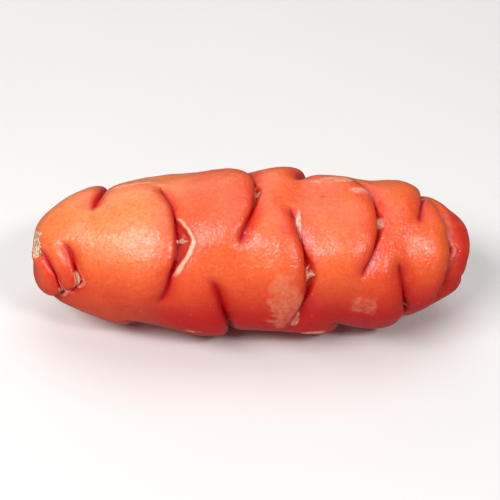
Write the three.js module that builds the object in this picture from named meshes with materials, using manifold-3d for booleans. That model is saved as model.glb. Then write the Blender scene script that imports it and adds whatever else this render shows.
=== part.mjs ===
// A New Zealand yam, the tuber of Oxalis tuberosa, lying on its side as picked.
// It is one grown piece: a stout, slightly flattened body, whose flesh swells up to each eye and drops
// into the curved crease beyond it. Millimetres and degrees, +Z up. Its length runs along X, from the
// stalk's scar at -X to the growing tip at +X, and the origin is on the ground under its middle.

import * as THREE from 'three';
import { mergeVertices } from 'three/addons/utils/BufferGeometryUtils.js';
import Module from 'manifold-3d';

// Driving dimensions.
const LENGTH = 85;
const GIRTH = 30.6; // height of the body between its swellings, at its stoutest
const WIDTH_TO_HEIGHT = 1.05;
const STOUTEST_AT = 0.51 * LENGTH; // from the stalk end
const PRESSED_FLAT = 0.45; // taken off the lowest swellings, where the tuber lies

// How full each end is: a bigger power makes a blunter end.
const STALK_END = { span: STOUTEST_AT, lengthPower: 2.2, girthPower: 3.0 };
const TIP_END = { span: LENGTH - STOUTEST_AT, lengthPower: 2.4, girthPower: 2.7 };

// Mesh fineness.
const RINGS = 84;
const SIDES = 42;
const OUTLINE_STEPS = 160;

// Shape that all creases share.
const LIP_ROUNDING = 2.6; // how far before the crease the swollen flesh starts to roll over
const CREASE_WIDTH = 0.6; // how far the dip reaches past the crease at its ends
const EYE_WIDTH = 1.8; // how much further it reaches at the middle, where the bud sits
const BLEND_BEFORE = 4; // where a crease has faded out, its swelling still ends softly
const BLEND_AFTER = 3;
const POLE_FADE = 1.2; // next to each end of the body there is no crease or swelling

// The eyes, in the order that they grew. along: from the stalk end to the middle of the crease.
// round: its place round the body, 0 on top and growing towards the back. half: half of the angle that
// the crease spans. sweep: how far its ends curve back to the stalk. depth: of the crease. swell: how
// far the flesh before it stands up. reach: how long that swelling is.
const EYES = [
  { along: 6.2, round: -92, half: 52, sweep: 5.0, depth: 1.0, swell: 0.5, reach: 6 },
  { along: 9.0, round: -72, half: 32, sweep: 2.4, depth: 0.8, swell: 0.5, reach: 7 },
  { along: 13.8, round: 46, half: 50, sweep: 2.2, depth: 1.4, swell: 0.9, reach: 11 },
  { along: 21.0, round: -176, half: 52, sweep: 3.4, depth: 1.2, swell: 0.8, reach: 12 },
  { along: 28.6, round: -41, half: 52, sweep: 3.6, depth: 1.3, swell: 1.1, reach: 15 },
  { along: 33.0, round: 100, half: 54, sweep: 3.4, depth: 1.3, swell: 1.0, reach: 14 },
  { along: 38.2, round: -125, half: 58, sweep: 3.2, depth: 1.4, swell: 1.2, reach: 13 },
  { along: 43.2, round: 2, half: 48, sweep: 3.2, depth: 1.2, swell: 0.9, reach: 13 },
  { along: 47.5, round: 150, half: 54, sweep: 3.4, depth: 1.2, swell: 0.9, reach: 13 },
  { along: 53.0, round: -66, half: 52, sweep: 3.2, depth: 1.3, swell: 1.1, reach: 13 },
  { along: 53.8, round: 62, half: 50, sweep: 3.0, depth: 1.5, swell: 1.2, reach: 12 },
  { along: 60.5, round: -165, half: 54, sweep: 3.2, depth: 1.2, swell: 0.9, reach: 12 },
  { along: 66.4, round: -27, half: 46, sweep: 3.2, depth: 1.1, swell: 1.0, reach: 12 },
  { along: 68.8, round: 112, half: 52, sweep: 3.0, depth: 1.2, swell: 1.0, reach: 11 },
  { along: 72.0, round: -112, half: 58, sweep: 1.6, depth: 1.3, swell: 0.9, reach: 11 },
  { along: 75.6, round: 22, half: 48, sweep: 1.6, depth: 1.1, swell: 0.9, reach: 9 },
  { along: 77.8, round: 165, half: 54, sweep: 2.2, depth: 1.0, swell: 0.8, reach: 8 },
  { along: 81.6, round: -45, half: 60, sweep: 2.0, depth: 0.8, swell: 0.5, reach: 7 },
];

const wasm = await Module();
wasm.setup();

// The half outline from the stalk's scar to the tip: x along the body, y its radius.
function bodyOutline() {
  const points = [];
  for (let i = 0; i <= OUTLINE_STEPS; i += 1) {
    const share = -Math.cos((Math.PI * i) / OUTLINE_STEPS);
    const end = share < 0 ? STALK_END : TIP_END;
    const fullness = 1 - Math.abs(share) ** end.lengthPower;
    const radius = (GIRTH / 2) * Math.max(fullness, 0) ** (1 / end.girthPower);
    points.push(new THREE.Vector2(STOUTEST_AT + share * end.span, radius));
  }
  const outline = new THREE.SplineCurve(points);
  outline.arcLengthDivisions = 8 * OUTLINE_STEPS;
  return outline;
}

// How far one eye lifts or sinks the surface at a place on the body.
function eyeRelief(eye, along, round) {
  const around = THREE.MathUtils.euclideanModulo(round - eye.round + 180, 360) - 180;
  const aside = Math.abs(around / eye.half);
  const creaseAt = eye.along - (eye.sweep * aside ** 2) / (1 + 0.15 * aside ** 2);
  const past = along - creaseAt;
  const open = Math.max(1 - aside ** 2.5, 0);

  const roll = THREE.MathUtils.clamp(past / LIP_ROUNDING + 1, 0, 1);
  const lip = past < 0 ? Math.sqrt(1 - roll ** 2) : 0;
  const softEnd = 1 - THREE.MathUtils.smoothstep(past, -BLEND_BEFORE, BLEND_AFTER);
  const rise = THREE.MathUtils.smoothstep(past, -eye.reach, -0.3 * eye.reach);
  const breadth = 1 - THREE.MathUtils.smoothstep(aside, 0.5, 1.4);
  const swelling = eye.swell * breadth * rise * (open * lip + (1 - open) * softEnd);

  const dipWidth = CREASE_WIDTH + EYE_WIDTH * open;
  const dip = past < 0 ? 1 - lip : Math.exp(-past / dipWidth);
  return swelling - eye.depth * open * dip;
}

// What all the eyes together do to the surface at one place.
function relief(along, round) {
  const fromEnd = Math.min(along, LENGTH - along);
  const total = EYES.reduce((sum, eye) => sum + eyeRelief(eye, along, round), 0);
  return total * THREE.MathUtils.smoothstep(fromEnd, 0, POLE_FADE);
}

// The whole grown surface, made from a sphere whose rings are laid along the body.
function tuberSurface() {
  const outline = bodyOutline();
  const geometry = new THREE.SphereGeometry(1, SIDES, RINGS).rotateZ(Math.PI / 2);
  geometry.deleteAttribute('normal');
  geometry.deleteAttribute('uv');
  const position = geometry.attributes.position;
  for (let i = 0; i < position.count; i += 1) {
    const share = Math.acos(THREE.MathUtils.clamp(-position.getX(i), -1, 1)) / Math.PI;
    const round = Math.atan2(position.getY(i), position.getZ(i));
    const place = outline.getPointAt(share);
    const tangent = outline.getTangentAt(share);
    const lift = relief(place.x, THREE.MathUtils.radToDeg(round));
    const radius = place.y + lift * tangent.x;
    position.setXYZ(
      i,
      place.x - lift * tangent.y,
      radius * Math.sin(round) * WIDTH_TO_HEIGHT,
      radius * Math.cos(round),
    );
  }
  return geometry;
}

function toSolid(geometry) {
  const merged = mergeVertices(geometry, 1e-3);
  return new wasm.Manifold(new wasm.Mesh({
    numProp: 3,
    vertProperties: new Float32Array(merged.attributes.position.array),
    triVerts: new Uint32Array(merged.index.array),
  }));
}

function toGeometry(solid) {
  const mesh = solid.getMesh();
  const geometry = new THREE.BufferGeometry();
  geometry.setAttribute('position', new THREE.BufferAttribute(mesh.vertProperties, 3));
  geometry.setIndex(new THREE.BufferAttribute(mesh.triVerts, 1));
  return geometry;
}

// The side that the tuber lies on, pressed to one flat plane.
function pressFlat(geometry) {
  geometry.computeBoundingBox();
  const groundHeight = geometry.boundingBox.min.z + PRESSED_FLAT;
  const ground = new THREE.BoxGeometry(2 * LENGTH, 2 * LENGTH, LENGTH);
  ground.deleteAttribute('normal');
  ground.deleteAttribute('uv');
  ground.translate(LENGTH / 2, 0, groundHeight - LENGTH / 2);
  return toGeometry(toSolid(geometry).subtract(toSolid(ground)));
}

// The origin goes on the ground under the middle of the tuber's box.
function setOnGround(geometry) {
  geometry.computeBoundingBox();
  const middle = geometry.boundingBox.getCenter(new THREE.Vector3());
  geometry.translate(-middle.x, -middle.y, -geometry.boundingBox.min.z);
  return geometry;
}

function makeTuber() {
  const skin = new THREE.MeshStandardMaterial({ color: 0xf2683a, roughness: 0.38, metalness: 0 });
  const geometry = setOnGround(pressFlat(tuberSurface()));
  geometry.computeVertexNormals();
  const tuber = new THREE.Mesh(geometry, skin);
  tuber.name = 'tuber';
  return tuber;
}

const yam = new THREE.Group();
yam.name = 'yam';
yam.add(makeTuber());

export default yam;
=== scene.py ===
"""A New Zealand yam, the tuber of Oxalis tuberosa, lying on its side.

The tuber is one piece of mesh: a stout body, swollen before each eye and creased beyond it. Shapes are
worked out in millimetres and degrees and turned to metres at the end. "along" runs from the stalk's scar
(-X) to the growing tip (+X), and "run" is the same way measured over the skin. "angle" goes round the body:
0 is on top, and it grows towards the back (+Y).
"""

import itertools
import math
from typing import NamedTuple

import bpy
import numpy as np
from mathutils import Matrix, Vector


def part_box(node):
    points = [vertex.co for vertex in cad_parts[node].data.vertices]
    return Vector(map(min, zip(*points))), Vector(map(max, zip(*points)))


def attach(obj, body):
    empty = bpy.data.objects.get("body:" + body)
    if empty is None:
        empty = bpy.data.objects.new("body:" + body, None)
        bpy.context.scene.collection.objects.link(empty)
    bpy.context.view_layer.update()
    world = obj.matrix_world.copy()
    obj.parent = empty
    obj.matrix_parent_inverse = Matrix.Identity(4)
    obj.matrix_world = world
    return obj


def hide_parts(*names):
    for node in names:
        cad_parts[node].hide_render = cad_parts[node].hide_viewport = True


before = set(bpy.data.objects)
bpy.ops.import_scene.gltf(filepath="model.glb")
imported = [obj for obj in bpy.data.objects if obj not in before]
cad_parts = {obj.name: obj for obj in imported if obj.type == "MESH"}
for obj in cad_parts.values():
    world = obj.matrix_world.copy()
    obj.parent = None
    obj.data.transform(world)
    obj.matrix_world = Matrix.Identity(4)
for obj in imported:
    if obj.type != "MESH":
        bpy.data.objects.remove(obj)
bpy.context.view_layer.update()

# ------------------------------------------------------------------ driving dimensions
MM = 0.001
LOW, HIGH = (np.array(corner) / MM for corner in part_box("tuber"))
LENGTH, _, HEIGHT = HIGH - LOW
# The body without its swellings.
GIRTH = 0.915 * HEIGHT
STOUTEST_AT = 0.51 * LENGTH
WIDTH_TO_HEIGHT = 1.05
# How much is pressed off the lowest swellings.
PRESSED_FLAT = 0.45

# How full each end is: a bigger power makes a blunter end.
STALK_END = dict(span=STOUTEST_AT, length_power=2.2, girth_power=3.0)
TIP_END = dict(span=LENGTH - STOUTEST_AT, length_power=2.4, girth_power=2.7)

# ------------------------------------------------------------------ mesh fineness
RINGS = 860
SIDES = 620
OUTLINE_STEPS = 6000
MOST_TRIANGLES = 190_000

# ------------------------------------------------------------------ the eyes
# The flesh before an eye rolls over into the crease: the radius of that roll, at most and as a share of the
# eye's reach, how far it hangs over, and the angle that it turns past square.
LIP_ROUNDING = 3.8
LIP_SHARE = 0.26
OVERHANG = 0.05
TUCK = math.radians(20)
TUCK_FADE = 0.9
# Beside the crease the swelling ends in a slope from so far before it to so far past it.
BLEND_BEFORE = 4.0
BLEND_AFTER = 3.0
# The crease is a narrow groove in a wide dip. Its line wanders, and an eye changes nothing further past it.
GROOVE_DEPTH = 0.38
GROOVE_WIDTH = 0.5
DIP_DEPTH = 0.72
DIP_WIDTH = 1.7
CREASE_WANDER = 0.3
FURTHEST_PAST = 8
# The bud sits in a hollow past the crease, inside the scale's raised edge.
HOLLOW_DEPTH = 0.7
RIM_HEIGHT = 0.2
RIM_FADE = 0.32
BUD_HEIGHT = 0.35
BUD_HALF_WIDTH = 0.7
NIB_HEIGHT = 0.08
# The skin is redder on both sides of the crease, at most this far: partly its own red and partly painted
# shade.
FLUSH_AND_SHADE_BEFORE = 2.8
FLUSH_AND_SHADE_AFTER = 2.0
# Everything smooths out this near to the two ends of the body.
POLE_FADE = 1.5


class Eye(NamedTuple):
    """One eye. run and angle: the middle of its crease. low and high: the angles that the crease spans
    towards smaller and bigger angle. sweep: how far its ends curve back to the stalk. depth: of the crease,
    1 being usual. swell and reach: height and length of the flesh before it. notch: how far the bud's
    hollow reaches past the crease. cream: how pale the scale's edge is. nib: size of its withered tip."""

    run: float
    angle: float
    low: float
    high: float
    sweep: float
    depth: float
    swell: float
    reach: float
    notch: float
    cream: float
    nib: float


# run, angle, low, high, sweep, depth, swell, reach, notch, cream, nib
EYES = [
    Eye(12.0, -98, 40, 58, 6.0, 1.0, 1.2, 8, 1.0, 0.6, 0.5),
    Eye(15.8, -78, 20, 42, 3.2, 1.0, 1.1, 9, 1.6, 0.6, 0.8),
    Eye(20.4, 48, 64, 46, 1.8, 1.3, 1.0, 12, 1.6, 0.3, 0.2),
    Eye(27.7, -176, 52, 52, 3.4, 1.0, 1.4, 13, 1.8, 0.5, 0.5),
    Eye(35.3, -41, 52, 52, 3.8, 1.0, 1.7, 17, 3.1, 1.0, 0.3),
    Eye(39.7, 100, 54, 54, 3.4, 1.0, 1.6, 16, 2.0, 0.5, 0.7),
    Eye(44.9, -126, 58, 62, 3.2, 1.4, 1.6, 15, 1.6, 0.3, 0.2),
    Eye(49.9, 0, 48, 48, 3.4, 1.0, 1.6, 15, 1.5, 0.12, 0.3),
    Eye(54.2, 150, 54, 54, 3.4, 1.0, 1.6, 15, 1.9, 0.5, 0.5),
    Eye(59.7, -66, 52, 54, 3.6, 1.0, 1.7, 15, 2.2, 0.12, 0.8),
    Eye(60.5, 64, 52, 52, 3.0, 1.3, 1.5, 14, 1.7, 0.4, 0.4),
    Eye(67.3, -165, 54, 54, 3.2, 1.0, 1.5, 14, 1.9, 0.5, 0.5),
    Eye(73.2, -25, 46, 48, 3.4, 1.0, 1.6, 14, 1.7, 0.25, 0.4),
    Eye(75.6, 112, 52, 52, 3.0, 1.0, 1.6, 13, 1.8, 0.6, 0.6),
    Eye(78.9, -112, 58, 60, 1.8, 1.2, 1.7, 13, 1.5, 0.1, 0.2),
    Eye(82.7, 24, 50, 50, 1.8, 1.0, 1.6, 11, 1.6, 0.3, 0.25),
    Eye(85.1, 165, 54, 54, 2.2, 0.9, 1.3, 10, 1.5, 0.5, 0.5),
    Eye(88.4, -45, 66, 66, 2.4, 2.4, 1.4, 10, 1.5, 0.5, 0.3),
    Eye(91.2, 96, 52, 52, 1.4, 0.7, 0.8, 7, 1.2, 0.6, 0.0),
    Eye(93.4, -150, 56, 56, 1.2, 0.6, 0.6, 6, 1.1, 0.6, 0.0),
    Eye(95.2, -20, 62, 62, 1.0, 0.5, 1.3, 5, 0.9, 0.3, 0.0),
]

# ------------------------------------------------------------------ blemishes


class Mark(NamedTuple):
    """A blemish of the skin: its middle, along as a share of the tuber's length, its size along the body
    and round it, how hollow it is, how strong, and how ragged its edge."""

    along: float
    angle: float
    length: float
    width: float
    ring: float = 0.0
    strength: float = 1.0
    ragged: float = 1.0


CORKY = [
    Mark(0.570, -86, 6.0, 10.0, ragged=1.3),
    Mark(0.755, -91, 5.0, 4.6, ring=0.5),
    Mark(0.30, 140, 5.5, 7.0),
    Mark(0.62, 130, 4.0, 6.5, ring=0.6),
    Mark(0.44, 35, 4.0, 3.0),
    Mark(0.83, -160, 4.5, 5.0, ring=0.5),
]
SPECKS = [
    Mark(0.660, -6, 0.6, 0.6, ragged=0.3),
    Mark(0.31, 62, 0.6, 0.5, ragged=0.3),
    Mark(0.55, 96, 0.5, 0.7, ragged=0.3),
    Mark(0.72, -128, 0.7, 0.5, ragged=0.3),
    Mark(0.81, 138, 0.5, 0.5, ragged=0.3),
]
FLAKES = [
    Mark(0.600, -106, 1.6, 5.0),
    Mark(0.640, -129, 4.2, 3.6),
    Mark(0.685, 14, 7.0, 3.4, strength=0.7),
    Mark(0.748, 1, 4.4, 2.4, strength=0.8),
    Mark(0.505, 8, 2.2, 1.4, strength=0.9),
    Mark(0.790, -24, 1.8, 2.4, strength=0.8),
    Mark(0.770, -52, 1.0, 4.4, strength=0.45, ragged=0.5),
    Mark(0.608, -31, 1.0, 7.0, strength=1.5, ragged=0.2),
    Mark(0.955, -40, 1.4, 3.6, strength=0.8),
    Mark(0.37, -118, 3.0, 1.6),
    Mark(0.225, 15, 11.0, 0.9, strength=0.8, ragged=0.3),
    Mark(0.52, 120, 3.0, 2.4),
    Mark(0.16, 170, 2.6, 4.0),
    Mark(0.70, -170, 3.4, 2.6),
    Mark(0.90, 60, 2.2, 2.6),
]
FLAKE_HEIGHT = 0.07

# The stalk's scar: its middle and half its size, across the body and upwards, and its sunken, crumbly cork.
SCAR_MIDDLE = (-2.8, 4.0)
SCAR_HALF_SIZE = (2.7, 2.5)
SCAR_DEPTH = 0.25
SCAR_CRUMBS = 0.16

# The lumps of the skin everywhere: their height, their size and their seed.
LUMPS = ((0.20, 7.0, 1), (0.08, 3.1, 2), (0.03, 1.3, 3))

# Each other noise has a seed of its own. A kind of mark also takes the next seed up.
SCAR_CRUMBS_SEED = 4
WANDER_SEED = 5
RAGGED_SEED = 6
SCAR_EDGE_SEED = 7
FLAKES_SEED = 11
FLAKE_GRAIN_SEED = 15
CORKY_SEED = 21
SPECKS_SEED = 31
LATTICE_SIDE = 64


def smoothstep(value, low, high):
    """0 below low and 1 above high, with a smooth step between."""
    share = np.clip((value - low) / (high - low), 0, 1)
    return share * share * (3 - 2 * share)


def fade(value, low, high):
    """1 below low and 0 above high, with a smooth step between."""
    return smoothstep(-value, -high, -low)


def wrapped(angle):
    """The same angle between -180 and 180."""
    return (angle + 180) % 360 - 180


def lattice_noise(points, size, seed):
    """Smooth random values between -1 and 1, with blobs about that size."""
    lattice = np.random.default_rng(seed).uniform(-1, 1, (LATTICE_SIDE,) * 3)
    cell = points / size
    low = np.floor(cell).astype(int)
    part = cell - low
    part = part * part * (3 - 2 * part)
    total = np.zeros(points.shape[:-1])
    for corner in itertools.product((0, 1), repeat=3):
        weight = np.prod(np.where(corner, part, 1 - part), axis=-1)
        place = (low + corner) % LATTICE_SIDE
        total += weight * lattice[place[..., 0], place[..., 1], place[..., 2]]
    return total


def body_outline():
    """Run, along, radius and direction of evenly spaced points on the half outline, pole to pole."""
    share = -np.cos(np.linspace(0, math.pi, OUTLINE_STEPS))
    along = np.empty_like(share)
    radius = np.empty_like(share)
    for end, mask in ((STALK_END, share < 0), (TIP_END, share >= 0)):
        fullness = np.maximum(1 - np.abs(share[mask]) ** end["length_power"], 0)
        along[mask] = STOUTEST_AT + share[mask] * end["span"]
        radius[mask] = GIRTH / 2 * fullness ** (1 / end["girth_power"])
    run = np.concatenate([[0], np.cumsum(np.hypot(np.diff(along), np.diff(radius)))])
    even = np.linspace(0, run[-1], RINGS + 1)
    along = np.interp(even, run, along)
    radius = np.interp(even, run, radius)
    step = np.hypot(np.gradient(along), np.gradient(radius))
    return even, along, radius, np.gradient(along) / step, np.gradient(radius) / step


class EyeRelief:
    """What one eye does to the surface near it.

    past is how far each place lies beyond the crease and arc how far round the body from its middle.
    aside is 0 at the middle of the crease and 1 at its ends, and bend is the same for the bud's hollow.
    open is 1 at the middle of the crease and 0 at its ends, and mild stays near 1 for longer.
    """

    def __init__(self, eye, run, angle, radius, wander, ragged):
        self.eye = eye
        self.wander = wander
        self.ragged = ragged
        around = wrapped(angle - eye.angle)
        self.arc = np.radians(around) * radius
        self.aside = np.abs(around) / np.where(around < 0, eye.low, eye.high)
        sweep = eye.sweep * self.aside**2 / (1 + 0.15 * self.aside**2)
        self.past = run - (eye.run - sweep + CREASE_WANDER * wander)
        self.before = self.past < 0
        self.open = np.clip(1 - self.aside**2.2, 0, 1)
        self.mild = smoothstep(self.open, 0, 0.5)
        self.lip = min(LIP_ROUNDING, LIP_SHARE * eye.reach)
        self.turn = np.clip(self.past / self.lip + 1, 0, 1) * (math.pi / 2 + TUCK)
        hollow_end = np.radians(np.where(around < 0, 0.54 * eye.low, 0.38 * eye.high)) * radius
        self.bend = np.hypot(self.arc / np.maximum(hollow_end, 0.1), 0.1)
        self.border = self.past - eye.notch * (1.1 - self.bend) + 0.12 * ragged + 0.15 * wander
        self.hollow = fade(self.border, -0.8, 0.1) * smoothstep(self.past, -0.6, 0.2)
        self.rim = self.scale_edge()
        self.bud = self.bud_in_hollow()
        self.nib = self.withered_tip()

    def swelling(self):
        """It climbs towards the crease, rolls over at the lip and dies away beside the crease."""
        rolled = (np.cos(self.turn) + math.sin(TUCK)) / (1 + math.sin(TUCK)) * self.before
        rise = smoothstep(self.past, -self.eye.reach, -0.15 * self.eye.reach)
        breadth = 1 - smoothstep(self.aside, 0.4, 1.5)
        sloping = 1 - smoothstep(self.past, -BLEND_BEFORE, BLEND_AFTER)
        return breadth * rise * (self.open * rolled + (1 - self.open) * sloping)

    def slide(self):
        """How far the skin moves along the body, so that the lip is round and hangs over the crease."""
        crest = -self.lip + (self.lip + OVERHANG) * np.sin(self.turn)
        tucked = -self.lip + (self.lip + OVERHANG) * math.cos(TUCK)
        slide_before = np.where(self.past > -self.lip, crest - self.past, 0)
        slide_after = tucked * np.exp(-np.maximum(self.past, 0) / TUCK_FADE)
        return self.open * np.where(self.before, slide_before, slide_after)

    def scale_edge(self):
        """The raised edge of the scale round the hollow, broader on its lower side."""
        band = 0.08 + 0.22 * self.eye.cream * (1 - smoothstep(self.arc, -1.5, 1.5))
        from_band = np.maximum(np.abs(self.border - 0.3) - band, 0)
        rim = np.exp(-((from_band / RIM_FADE) ** 2)) * (1 - smoothstep(self.bend, 0.75, 1.05))
        return rim * smoothstep(self.past, -0.1, 0.6)

    def bud_in_hollow(self):
        """The bud, a small diamond in the middle of the hollow, and dry film along the crease."""
        notch = self.eye.notch
        upward = np.abs(self.past - 0.4 * notch) / (0.45 * notch)
        pointed = np.abs(self.arc) / BUD_HALF_WIDTH + upward + 0.4 * self.ragged
        torn = smoothstep(self.wander + 0.5 * self.ragged, -0.2, 0.4)
        film = self.hollow * fade(self.past, 0.3, 0.9) * torn
        return np.maximum(fade(pointed, 0.6, 1.1), 0.5 * film)

    def withered_tip(self):
        """The withered tip of the scale, which lies over the middle of the crease."""
        nib = self.eye.nib
        point = np.abs(self.arc) / (2.4 * nib + 0.01) + np.maximum(self.past, 0) / (1.3 * nib + 0.01)
        point = point + 0.6 * self.ragged
        return fade(point, 0.75, 1.15) * smoothstep(self.past, -1.6 * nib, -0.6 * nib)

    def sunk(self):
        """The groove, the dip, the hollow and what stands in it, as a lift that is mostly below 0."""
        eye = self.eye
        sunk = -GROOVE_DEPTH * eye.depth * self.open * np.exp(-((np.abs(self.past) / GROOVE_WIDTH) ** 1.2))
        sunk = sunk - DIP_DEPTH * eye.depth * self.mild * np.exp(-((self.past / DIP_WIDTH) ** 2))
        sunk = sunk - HOLLOW_DEPTH * eye.depth * self.hollow
        sunk = sunk + RIM_HEIGHT * self.rim * eye.cream + BUD_HEIGHT * self.bud
        return sunk * (1 - 0.6 * self.nib) + NIB_HEIGHT * self.nib

    def masks(self):
        """Where each of the eye's colours goes, 0 to 1. The groove, lip and hollow masks place painted
        shade; the flush is partly the skin's own red and partly painted shade.
        """
        # Painted shade: a deep red line in the crease.
        groove = np.exp(-((np.maximum(np.abs(self.past) - 0.1, 0) / 0.45) ** 1.5)) * self.mild
        # Painted shade: crimson where the lip rolls over into the crease and just past it.
        lip = np.where(self.before, smoothstep(self.turn, 0.8, 1.7), np.exp(-self.past / 0.5)) * self.mild
        # Redder on both sides of the crease: partly the skin's own red and partly painted shade.
        flush_and_shade_reach = np.where(self.before, min(FLUSH_AND_SHADE_BEFORE, 0.2 * self.eye.reach), FLUSH_AND_SHADE_AFTER)
        return {
            "groove": groove * (1 - self.nib),
            "lip": lip,
            "rim": self.rim * self.eye.cream,
            "bud": self.bud,
            # Painted shade: crimson in the bud's hollow.
            "hollow": self.hollow,
            "nib": self.nib,
            "flush_and_shade": np.exp(-((self.past / flush_and_shade_reach) ** 2)) * self.mild,
        }


class Relief:
    """All the eyes together: lift off the body, slide along it, and masks for the colours."""

    def __init__(self, run, angle, radius):
        still = np.zeros_like(run)
        wander = lattice_noise(np.stack([angle / 16, run / 7, still], -1), 1, WANDER_SEED)
        ragged = lattice_noise(np.stack([angle / 3, run / 0.7, still], -1), 1, RAGGED_SEED)
        self.swollen, self.crowding, self.sunk, self.slide = np.zeros((4,) + run.shape)
        self.masks = {}
        for eye in EYES:
            furthest_before = eye.reach + 3 * eye.sweep
            rows = (run[:, 0] > eye.run - furthest_before) & (run[:, 0] < eye.run + FURTHEST_PAST)
            near = (grid[rows] for grid in (run, angle, radius, wander, ragged))
            self.add(rows, EyeRelief(eye, *near))

    def add(self, rows, one):
        swelling = one.swelling()
        self.swollen[rows] += one.eye.swell * swelling
        self.crowding[rows] += swelling
        self.sunk[rows] += one.sunk()
        self.slide[rows] += one.slide()
        for name, mask in one.masks().items():
            total = self.masks.setdefault(name, np.zeros_like(self.sunk))
            total[rows] = np.maximum(total[rows], mask)

    def lift(self):
        """Where swellings meet, they share their height instead of adding up."""
        crowd = (1 + self.crowding**4) ** 0.25
        return self.swollen / crowd + self.sunk


def marked(marks, raw, angle, seed):
    """How far each place lies in one of these ragged marks, 0 to 1."""
    ragged = 0.35 * lattice_noise(raw, 1.6, seed) + 0.3 * lattice_noise(raw, 0.7, seed + 1)
    found = np.zeros(angle.shape)
    for mark in marks:
        beside = np.radians(wrapped(angle - mark.angle)) * GIRTH / mark.width
        before = 2 * (raw[..., 0] - mark.along * LENGTH) / mark.length
        away = np.hypot(before, beside) + mark.ragged * ragged
        inside = fade(away, 0.75, 1.1) * (1 - mark.ring * fade(away, 0.4, 0.8))
        found = np.maximum(found, mark.strength * inside)
    return found


def stalk_scar(raw):
    """Where the corky scar of the stalk is: a ragged disc near the stalk end, turned to one side."""
    across = (raw[..., 1] - SCAR_MIDDLE[0]) / SCAR_HALF_SIZE[0]
    upward = (raw[..., 2] - SCAR_MIDDLE[1]) / SCAR_HALF_SIZE[1]
    away = np.hypot(across, upward) + 0.3 * lattice_noise(raw, 1.2, SCAR_EDGE_SEED)
    return fade(away, 0.9, 1.06) * (raw[..., 0] < 0.2 * LENGTH)


def skin_masks(raw, angle, eye_masks):
    """Where each colour of the skin goes, 0 to 1: the eyes' colours, the blemishes, the painted shade
    underneath and the painted light on the upper stalk half.
    """
    along = raw[..., 0]
    height = raw[..., 2] / (GIRTH / 2)
    stalk_half = fade(along, 0.2 * LENGTH, 0.36 * LENGTH)
    # The tip is redder: partly the skin's own red and partly painted shade.
    tip = smoothstep(along, 0.93 * LENGTH, 0.98 * LENGTH)
    return {
        **eye_masks,
        "flush_and_shade": np.maximum(eye_masks["flush_and_shade"], tip),
        "scar": stalk_scar(raw),
        "flake": marked(FLAKES, raw, angle, FLAKES_SEED),
        "cork": marked(CORKY, raw, angle, CORKY_SEED),
        "speck": marked(SPECKS, raw, angle, SPECKS_SEED),
        # Painted shade: deep red towards the bottom, less of it at the stalk half.
        "under": fade(height, -0.25, 0.62) * (1 - 0.45 * stalk_half),
        # Painted light: peach on the upper side of the stalk half, where the light falls broadest.
        "painted_light_peach": fade(along, 0.25 * LENGTH, 0.43 * LENGTH) * smoothstep(height, 0.2, 0.8),
    }


def unevenness(raw, scar, flake):
    """The lumps everywhere, the scar's sunken cork and the flakes that stand up from the skin."""
    total = np.zeros(scar.shape)
    for height, size, seed in LUMPS:
        total += height * lattice_noise(raw, size, seed)
    total += scar * (SCAR_CRUMBS * lattice_noise(raw, 0.55, SCAR_CRUMBS_SEED) - SCAR_DEPTH)
    total += FLAKE_HEIGHT * flake * (1 + lattice_noise(raw, 0.5, FLAKE_GRAIN_SEED))
    return total


def tuber_points():
    """The dense grid of surface points, poles first and last, and the masks at each of them."""
    rows = (row[:, None] for row in body_outline())
    angles = np.linspace(-180, 180, SIDES, endpoint=False)[None, :]
    run, along, radius, run_along, run_out, angle = np.broadcast_arrays(*rows, angles)
    turn = np.radians(angle)
    raw = np.stack([along, radius * np.sin(turn), radius * np.cos(turn)], -1)
    near_pole = smoothstep(np.minimum(run, run.max() - run), 0, POLE_FADE)
    relief = Relief(run, angle, radius)
    eye_masks = {name: mask * near_pole for name, mask in relief.masks.items()}
    masks = skin_masks(raw, angle, eye_masks)
    uneven = unevenness(raw, masks["scar"], masks["flake"])
    lift = (relief.lift() * (1 - 0.7 * masks["scar"]) + uneven) * near_pole
    slide = relief.slide * near_pole
    out = radius + lift * run_along + slide * run_out
    points = np.stack([
        along - lift * run_out + slide * run_along,
        out * np.sin(turn) * WIDTH_TO_HEIGHT,
        out * np.cos(turn),
    ], -1)
    return points, masks


def settle(points):
    """Presses the lowest side flat and brings the whole to the CAD model's box, in metres."""
    points = points.copy()
    points[..., 2] = np.maximum(points[..., 2], points[..., 2].min() + PRESSED_FLAT)
    flat = points.reshape(-1, 3)
    share = (points - flat.min(0)) / (flat.max(0) - flat.min(0))
    return (LOW + share * (HIGH - LOW)) * MM


def grid_faces():
    """Quads between the rings, and a fan at each pole."""
    inner = 1 + np.arange((RINGS - 1) * SIDES).reshape(RINGS - 1, SIDES)
    beside = np.roll(inner, -1, axis=1)
    quads = np.stack([inner[:-1], inner[1:], beside[1:], beside[:-1]], -1).reshape(-1, 4)
    last = inner[-1, -1] + 1
    first_fan = np.stack([np.zeros(SIDES, int), inner[0], beside[0]], -1)
    last_fan = np.stack([np.full(SIDES, last), beside[-1], inner[-1]], -1)
    return quads.tolist() + first_fan.tolist() + last_fan.tolist()


def grid_values(grid):
    """One value or point for each vertex of the grid mesh."""
    return np.concatenate([grid[:1, 0], grid[1:-1].reshape((-1,) + grid.shape[2:]), grid[-1:, 0]])


def thinned(obj):
    """The object's mesh with no more than the triangles allowed."""
    thin = obj.modifiers.new("thin", "DECIMATE")
    thin.ratio = MOST_TRIANGLES / (2 * SIDES * (RINGS - 1))
    mesh = bpy.data.meshes.new_from_object(obj.evaluated_get(bpy.context.evaluated_depsgraph_get()))
    obj.modifiers.clear()
    return mesh


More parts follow.
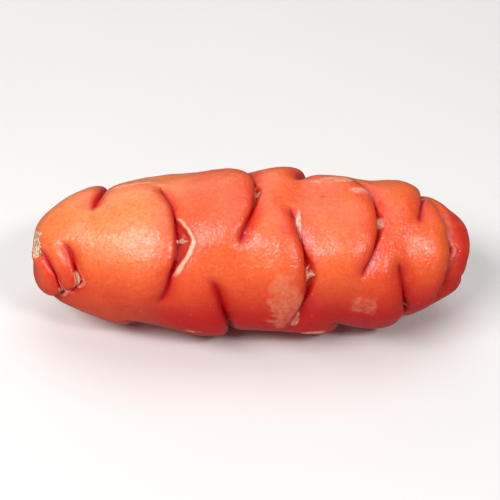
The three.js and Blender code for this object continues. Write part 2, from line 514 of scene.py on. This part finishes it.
def make_tuber():
    points, masks = tuber_points()
    dense = bpy.data.meshes.new("tuber_skin")
    dense.from_pydata(grid_values(settle(points)).tolist(), [], grid_faces())
    for name, mask in masks.items():
        values = grid_values(mask).astype(np.float32)
        dense.attributes.new(name, "FLOAT", "POINT").data.foreach_set("value", values)
    tuber = bpy.data.objects.new("tuber_skin", dense)
    bpy.context.scene.collection.objects.link(tuber)
    tuber.data = thinned(tuber)
    bpy.data.meshes.remove(dense)
    tuber.data.name = "tuber_skin"
    tuber.data.shade_smooth()
    return tuber


# ------------------------------------------------------------------ materials
class Nodes:
    """Short ways to add nodes to one material. Sizes are in millimetres."""

    def __init__(self, name):
        self.material = bpy.data.materials.new(name)
        self.material.use_nodes = True
        self.tree = self.material.node_tree
        self.shader = self.tree.nodes["Principled BSDF"]
        self.where = self.add("ShaderNodeTexCoord").outputs["Object"]

    def add(self, kind, **settings):
        node = self.tree.nodes.new(kind)
        for name, value in settings.items():
            setattr(node, name, value)
        return node

    def feed(self, socket, value):
        """Links the value to the socket, or sets it there if it is a plain number or colour."""
        if isinstance(value, bpy.types.NodeSocket):
            self.tree.links.new(value, socket)
        else:
            socket.default_value = value

    def set_shader(self, values):
        """Sets or links the shader's own sockets, by name."""
        for name, value in values.items():
            self.feed(self.shader.inputs[name], value)

    def attribute(self, name):
        return self.add("ShaderNodeAttribute", attribute_name=name).outputs["Fac"]

    def noise(self, size, detail=2.0, roughness=0.5, distortion=0.0):
        """Smooth noise whose blobs are about that many millimetres across."""
        node = self.add("ShaderNodeTexNoise")
        self.feed(node.inputs["Vector"], self.where)
        self.feed(node.inputs["Scale"], 1 / (size * MM))
        self.feed(node.inputs["Detail"], detail)
        self.feed(node.inputs["Roughness"], roughness)
        self.feed(node.inputs["Distortion"], distortion)
        return node.outputs["Fac"]

    def maths(self, operation, first, second, clamp=False):
        node = self.add("ShaderNodeMath", operation=operation, use_clamp=clamp)
        self.feed(node.inputs[0], first)
        self.feed(node.inputs[1], second)
        return node.outputs[0]

    def times(self, first, second):
        return self.maths("MULTIPLY", first, second)

    def most(self, first, second):
        return self.maths("MAXIMUM", first, second)

    def ramp(self, value, low, high, to_low=0.0, to_high=1.0):
        """A smooth step from one number to another as the value goes from low to high."""
        node = self.add("ShaderNodeMapRange", interpolation_type="SMOOTHSTEP")
        for name, number in (("Value", value), ("From Min", low), ("From Max", high),
                             ("To Min", to_low), ("To Max", to_high)):
            self.feed(node.inputs[name], number)
        return node.outputs["Result"]

    def mix(self, share, under, over):
        """One colour laid over another by that share."""
        node = self.add("ShaderNodeMix", data_type="RGBA")
        self.feed(node.inputs["Factor"], share)
        self.feed(node.inputs["A"], under)
        self.feed(node.inputs["B"], over)
        return node.outputs["Result"]

    def dots(self, spacing, radius, kept):
        """Scattered round dots: about a spacing apart, their radius a share of it."""
        node = self.add("ShaderNodeTexVoronoi", feature="F1")
        self.feed(node.inputs["Vector"], self.where)
        self.feed(node.inputs["Scale"], 1 / (spacing * MM))
        split = self.add("ShaderNodeSeparateColor")
        self.feed(split.inputs["Color"], node.outputs["Color"])
        chosen = self.maths("LESS_THAN", split.outputs[0], kept)
        return self.times(chosen, self.ramp(node.outputs["Distance"], 0.7 * radius, radius, 1, 0))

    def bump(self, height, distance, strength=1.0, under=None):
        node = self.add("ShaderNodeBump")
        self.feed(node.inputs["Height"], height)
        self.feed(node.inputs["Distance"], distance * MM)
        self.feed(node.inputs["Strength"], strength)
        if under is not None:
            self.feed(node.inputs["Normal"], under)
        return node.outputs["Normal"]


def linear(red, green, blue):
    """A colour of 0 to 255 steps, as the shader's linear light."""
    channels = (step / 255 for step in (red, green, blue))
    light = (part / 12.92 if part <= 0.04045 else ((part + 0.055) / 1.055) ** 2.4 for part in channels)
    return (*light, 1.0)


ORANGE = linear(240, 104, 44)
PEACH = linear(250, 142, 80)
RED_ORANGE = linear(226, 68, 34)
# Red near the creases and at the tip: partly the skin's own and partly painted shade.
FLUSH_AND_SHADE_RED = linear(204, 12, 20)
# Painted shade underneath.
UNDERSIDE_SHADE_RED = linear(196, 10, 4)
# Painted shade on the lips and in the buds' hollows.
CRIMSON_SHADE = linear(184, 14, 22)
# Painted shade in the grooves.
GROOVE_SHADE_RED = linear(200, 8, 20)
CREAM = linear(242, 184, 160)
BUD = linear(206, 150, 124)
TAN = linear(222, 134, 98)
CORK = linear(232, 200, 164)
CORK_DARK = linear(150, 98, 66)
SPECK = linear(96, 24, 20)
FLOOR_DARKER = linear(226, 225, 223)
FLOOR_LIGHTER = linear(232, 231, 229)


def flesh_colour(skin, mottle):
    """Orange, redder in broad patches and in fine mottling, and painted light in peach on the upper side of
    the stalk half.
    """
    painted_light_peach = skin.attribute("painted_light_peach")
    broad = skin.ramp(skin.noise(15), 0.38, 0.72, 0, 0.75)
    redness = skin.maths("ADD", broad, skin.ramp(mottle, 0.3, 0.75, -0.15, 0.2))
    # Under the painted light the skin is less red.
    redness = skin.maths("SUBTRACT", redness, skin.times(painted_light_peach, 0.6), clamp=True)
    flesh = skin.mix(skin.times(painted_light_peach, skin.ramp(mottle, 0.25, 0.7, 0.7, 1)), ORANGE, PEACH)
    colour = skin.mix(redness, flesh, RED_ORANGE)
    colour = skin.mix(skin.ramp(skin.noise(0.8, 3, 0.6), 0.42, 0.68, 0, 0.4), colour, RED_ORANGE)
    return skin.mix(skin.ramp(skin.noise(0.5), 0.4, 0.7, 0, 0.25), colour, PEACH)


def shaded_colour(skin, colour, mottle):
    """Redder near the creases and at the tip, partly the skin's own red and partly painted shade; painted
    shade in deep red underneath; and tan in the cork patches.
    """
    flush_and_shade = skin.times(skin.attribute("flush_and_shade"), skin.ramp(mottle, 0.3, 0.65, 0.55, 0.9))
    corky = skin.times(skin.attribute("cork"), skin.ramp(skin.noise(0.9, 3), 0.3, 0.65, 0.2, 0.6))
    # Redder near the creases and at the tip: partly the skin's own red and partly painted shade.
    colour = skin.mix(flush_and_shade, colour, FLUSH_AND_SHADE_RED)
    # Painted shade: deep red towards the bottom.
    colour = skin.mix(skin.attribute("under"), colour, UNDERSIDE_SHADE_RED)
    return skin.mix(corky, colour, TAN)


def creased_colour(skin, colour):
    """Painted shade: crimson on the lips and in the buds' hollows, and deep red in the grooves."""
    # Painted shade: crimson on the lips.
    colour = skin.mix(skin.ramp(skin.attribute("lip"), 0.1, 0.95, 0, 0.95), colour, CRIMSON_SHADE)
    # Painted shade: crimson in the buds' hollows.
    colour = skin.mix(skin.times(skin.attribute("hollow"), 0.75), colour, CRIMSON_SHADE)
    # Painted shade: deep red in the grooves.
    return skin.mix(skin.ramp(skin.attribute("groove"), 0.2, 0.9), colour, GROOVE_SHADE_RED)


def scaly_colour(skin, colour):
    """The dry parts: pale scale edges and flakes in patches, buds, withered tips and the stalk's scar."""
    flecks = skin.ramp(skin.noise(0.7, 3, 0.6), 0.32, 0.6, 0.3, 0.9)
    patchy = skin.times(flecks, skin.ramp(skin.noise(2.4, 1), 0.38, 0.56, 0.35, 1))
    crumbs = skin.noise(0.6, 3, 0.6)
    husk = skin.mix(skin.ramp(crumbs, 0.4, 0.6), BUD, CREAM)
    cork = skin.mix(skin.ramp(crumbs, 0.47, 0.62), CORK, CORK_DARK)
    rim = skin.attribute("rim")
    pale = skin.times(skin.ramp(rim, 0.15, 1), skin.most(patchy, skin.ramp(rim, 0.5, 1, 0, 0.8)))
    colour = skin.mix(pale, colour, CREAM)
    colour = skin.mix(skin.times(skin.attribute("flake"), patchy), colour, CREAM)
    colour = skin.mix(skin.ramp(skin.attribute("bud"), 0.3, 0.8, 0, 0.8), colour, BUD)
    colour = skin.mix(skin.ramp(skin.attribute("nib"), 0.3, 0.9, 0, 0.75), colour, husk)
    return skin.mix(skin.ramp(skin.attribute("scar"), 0.35, 0.65), colour, cork)


def speckled_colour(skin, colour):
    """Faint pale dots all over, and a few dark specks."""
    colour = skin.mix(skin.times(skin.dots(2.1, 0.13, 0.75), 0.22), colour, PEACH)
    return skin.mix(skin.times(skin.attribute("speck"), 0.85), colour, SPECK)


def skin_colour(skin):
    """From the broad colour of the flesh to the finest specks."""
    mottle = skin.noise(3.0, 4, 0.6)
    colour = flesh_colour(skin, mottle)
    colour = shaded_colour(skin, colour, mottle)
    colour = creased_colour(skin, colour)
    colour = scaly_colour(skin, colour)
    return speckled_colour(skin, colour)


def skin_roughness(skin):
    """Waxy, and rougher where the skin is dry."""
    dry = skin.most(skin.attribute("scar"), skin.most(skin.attribute("flake"), skin.attribute("cork")))
    return skin.maths("ADD", skin.ramp(skin.noise(1.6, 3), 0.3, 0.7, 0.3, 0.44), skin.times(dry, 0.3))


def skin_material():
    """Translucent flesh under a thin coat, whose own dimples break up the highlights."""
    skin = Nodes("yam_skin")
    fine = skin.bump(skin.noise(0.5), 0.06)
    skin.set_shader({
        "Base Color": skin_colour(skin),
        "Roughness": skin_roughness(skin),
        "Normal": skin.bump(skin.noise(1.6), 0.12, 0.6, fine),
        "IOR": 1.42,
        "Coat Weight": 0.45,
        "Coat Roughness": 0.2,
        "Coat Normal": skin.bump(skin.noise(0.8, distortion=0.6), 0.22, under=fine),
        "Subsurface Weight": 0.5,
        "Subsurface Radius": (1.0, 0.25, 0.1),
        "Subsurface Scale": 1.8 * MM,
    })
    return skin.material


def floor_material():
    floor = Nodes("floor")
    colour = floor.mix(floor.noise(60), FLOOR_DARKER, FLOOR_LIGHTER)
    floor.set_shader({"Base Color": colour, "Roughness": 0.9})
    return floor.material


# ------------------------------------------------------------------ stage, in metres and degrees
# Azimuth 0 is in front (-Y), and it grows to the right.
FLOOR_REACH = 3.0
CAMERA_AZIMUTH = 0
CAMERA_ELEVATION = 40
CAMERA_LENS = 100
SENSOR = 36
VIEW_WIDTH = 98 * MM
WORLD_STRENGTH = 0.13


class Light(NamedTuple):
    """A rectangular lamp, aimed at the middle of the tuber."""

    name: str
    azimuth: float
    elevation: float
    distance: float
    width: float
    height: float
    watts: float


LIGHTS = (
    Light("key", -46, 50, 0.6, 0.36, 0.18, 2.75),
    Light("side", 38, 46, 0.6, 0.12, 0.08, 1.15),
    Light("back", 200, 30, 0.8, 0.6, 0.4, 1.0),
    Light("top", 165, 76, 0.8, 0.6, 0.6, 2.2),
)


def direction(azimuth, elevation):
    turn = math.radians(azimuth)
    climb = math.radians(elevation)
    return Vector((math.sin(turn) * math.cos(climb), -math.cos(turn) * math.cos(climb), math.sin(climb)))


def aim(obj, azimuth, elevation, distance, target):
    """Puts a camera or light into the scene, so far from the target and looking at it."""
    away = direction(azimuth, elevation)
    obj.location = target + away * distance
    obj.rotation_mode = "QUATERNION"
    obj.rotation_quaternion = away.to_track_quat("Z", "Y")
    bpy.context.scene.collection.objects.link(obj)


def make_floor():
    """A square floor, kept out of the skin's reflections because it would wash out the red below."""
    mesh = bpy.data.meshes.new("floor")
    corners = [(x * FLOOR_REACH, y * FLOOR_REACH, 0) for x, y in ((-1, -1), (1, -1), (1, 1), (-1, 1))]
    mesh.from_pydata(corners, [], [(0, 1, 2, 3)])
    mesh.materials.append(floor_material())
    floor = bpy.data.objects.new("floor", mesh)
    bpy.context.scene.collection.objects.link(floor)
    floor.visible_glossy = False


def make_camera(target):
    """A camera at the distance where the view is VIEW_WIDTH wide at the tuber."""
    data = bpy.data.cameras.new("camera")
    data.lens = CAMERA_LENS
    data.sensor_width = SENSOR
    camera = bpy.data.objects.new("camera", data)
    aim(camera, CAMERA_AZIMUTH, CAMERA_ELEVATION, VIEW_WIDTH * CAMERA_LENS / SENSOR, target)
    bpy.context.scene.camera = camera


def make_light(light, target):
    data = bpy.data.lights.new(light.name, "AREA")
    data.shape = "RECTANGLE"
    data.size = light.width
    data.size_y = light.height
    data.energy = light.watts
    aim(bpy.data.objects.new(light.name, data), light.azimuth, light.elevation, light.distance, target)


def make_world():
    world = bpy.data.worlds.new("studio")
    world.use_nodes = True
    background = world.node_tree.nodes["Background"]
    background.inputs["Color"].default_value = (1, 1, 1, 1)
    background.inputs["Strength"].default_value = WORLD_STRENGTH
    bpy.context.scene.world = world


def main():
    tuber = make_tuber()
    tuber.data.materials.append(skin_material())
    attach(tuber, "root")
    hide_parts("tuber")
    middle = Vector(((LOW + HIGH) / 2 * MM).tolist())
    make_floor()
    make_world()
    make_camera(middle)
    for light in LIGHTS:
        make_light(light, middle)
    bpy.context.scene.view_settings.view_transform = "Standard"


main()
